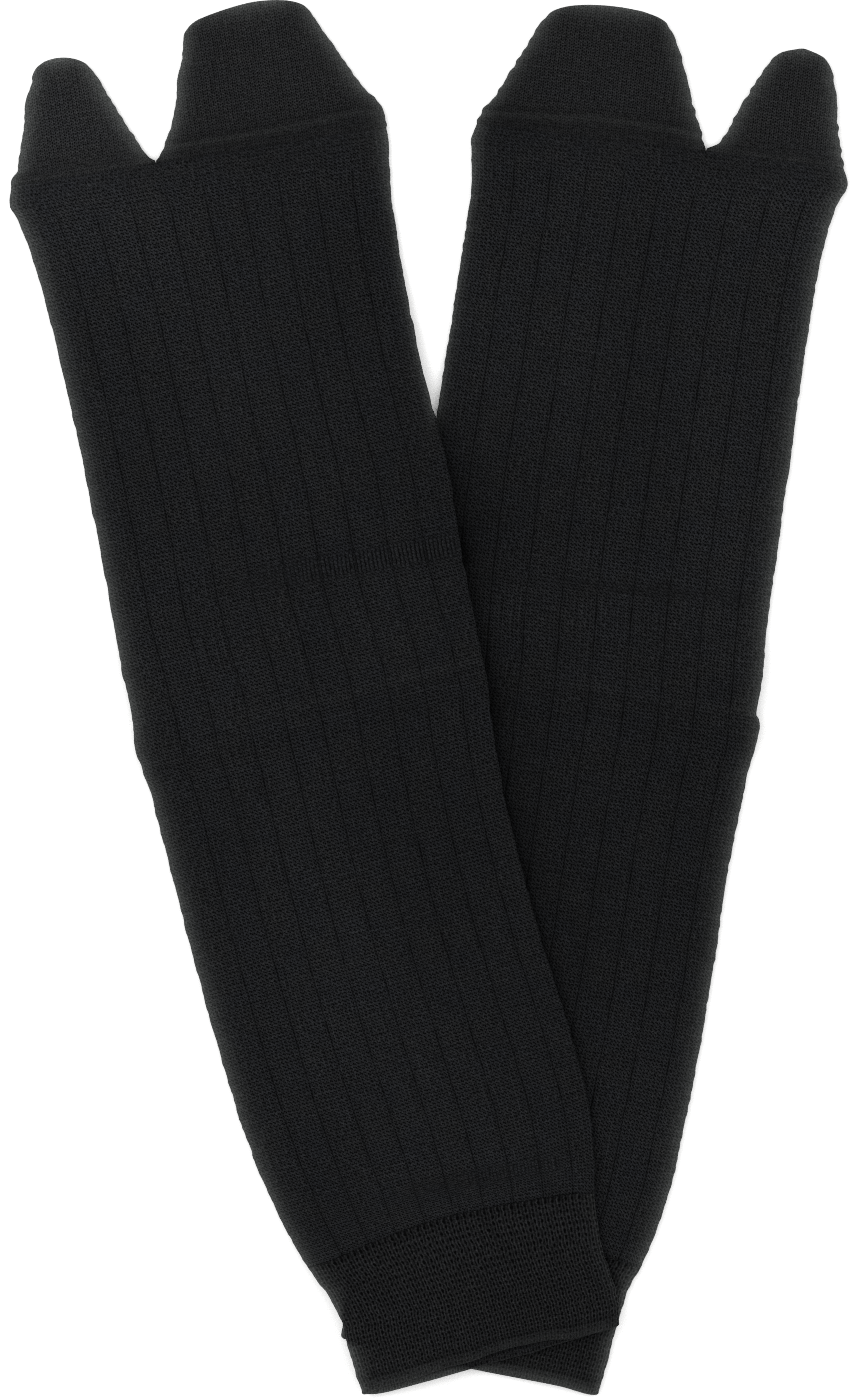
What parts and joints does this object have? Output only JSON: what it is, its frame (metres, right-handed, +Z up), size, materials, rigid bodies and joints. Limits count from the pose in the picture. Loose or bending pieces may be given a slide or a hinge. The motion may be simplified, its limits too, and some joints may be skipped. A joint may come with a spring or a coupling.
{
  "type": "pair of wool socks",
  "caption": "Pair of fine ribbed wool socks with separate big toes, laid flat and crossed at the cuffs.",
  "frame": {"origin": "middle of the pair's footprint, on the surface it lies on", "axes": "+Z up from the surface, +Y from the cuffs to the toes, +X to the right seen from above with the toes away"},
  "size_m": [0.2605, 0.4358, 0.0112],
  "materials": {
    "over_leg": "fine wool knit, matt",
    "over_foot": "fine wool knit, matt",
    "over_cuff": "fine wool knit, matt",
    "over_big_toe": "fine wool knit, matt",
    "over_four_toes": "fine wool knit, matt",
    "over_heel": "fine wool knit, matt",
    "under_leg": "fine wool knit, matt",
    "under_foot": "fine wool knit, matt",
    "under_cuff": "fine wool knit, matt",
    "under_big_toe": "fine wool knit, matt",
    "under_four_toes": "fine wool knit, matt",
    "under_heel": "fine wool knit, matt"
  },
  "bodies": {
    "root": {"over_leg": "over_leg", "over_foot": "over_foot", "over_cuff": "over_cuff", "over_big_toe": "over_big_toe", "over_four_toes": "over_four_toes", "over_heel": "over_heel", "under_leg": "under_leg", "under_foot": "under_foot", "under_cuff": "under_cuff", "under_big_toe": "under_big_toe", "under_four_toes": "under_four_toes", "under_heel": "under_heel"}
  },
  "joints": []
}
